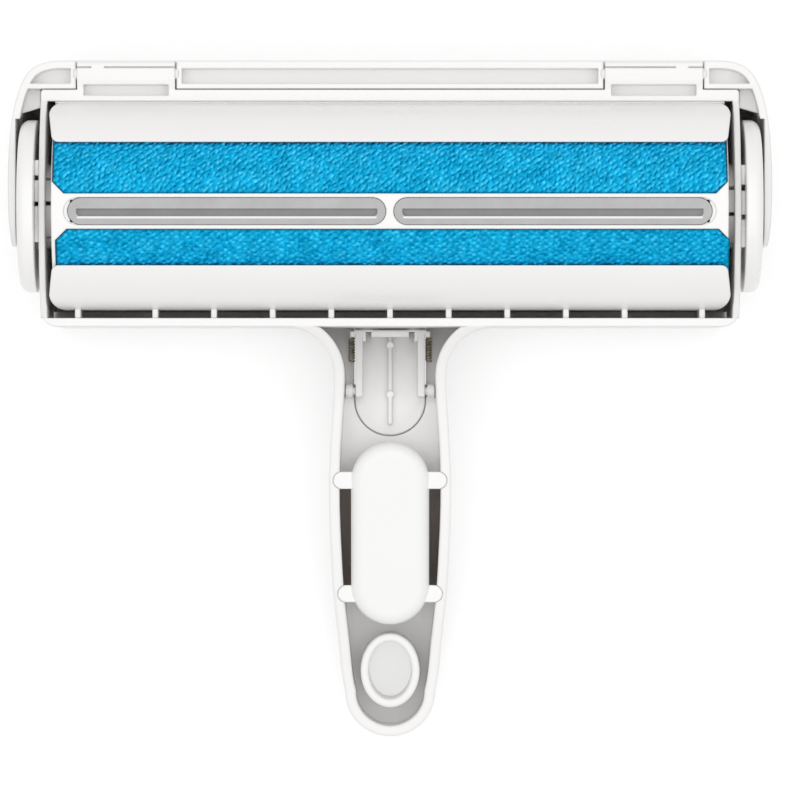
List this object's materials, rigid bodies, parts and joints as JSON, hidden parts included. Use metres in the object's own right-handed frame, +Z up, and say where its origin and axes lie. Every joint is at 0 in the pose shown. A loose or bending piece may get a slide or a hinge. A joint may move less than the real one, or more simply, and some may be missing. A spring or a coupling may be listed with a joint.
{
  "type": "pet hair removal brush",
  "caption": "Hand-held pet hair roller with a rocking drum of lint fabric strips, curved guards, a hinged dust lid with a release button and an open shell handle with an eyelet.",
  "frame": {"origin": "on the rest plane under the flat of the lid's back, straight below the middle of the drum axis", "axes": "+X along the roller, +Y from the handle towards the hinged front edge, +Z up, out of the roller side"},
  "size_m": [0.1904, 0.1699, 0.0604],
  "materials": {
    "white_abs": "satin moulded",
    "lint_fabric": "directional knit",
    "dark_elastomer": "matte",
    "grey_elastomer": "matte"
  },
  "bodies": {
    "frame": {"housing": "white_abs", "front_guard": "white_abs", "rear_guard": "white_abs", "end_cap_left": "white_abs", "end_cap_right": "white_abs", "grip_insert": "white_abs", "grip_backing": "dark_elastomer"},
    "drum": {"drum_core": "white_abs", "fabric_strip_front": "lint_fabric", "fabric_strip_rear": "lint_fabric", "grip_strip_left": "grey_elastomer", "grip_strip_right": "grey_elastomer"},
    "lid": {"lid": "white_abs"},
    "button": {"release_button": "white_abs"}
  },
  "joints": [
    {"name": "drum_rock", "type": "hinge", "parent": "frame", "child": "drum", "pos_m": [0, 0, 0.036], "axis": [1, 0, 0], "range_deg": [-29.7, 20.3]},
    {"name": "lid_open", "type": "hinge", "parent": "frame", "child": "lid", "pos_m": [0, 0.0329, 0.0406], "axis": [1, 0, 0], "range_deg": [0, 100]},
    {"name": "button_press", "type": "hinge", "parent": "frame", "child": "button", "pos_m": [0, -0.0461, 0.0176], "axis": [1, 0, 0], "range_deg": [-8, 0], "stiffness_Nm_per_rad": 0.3, "springref_deg": 2.86}
  ]
}
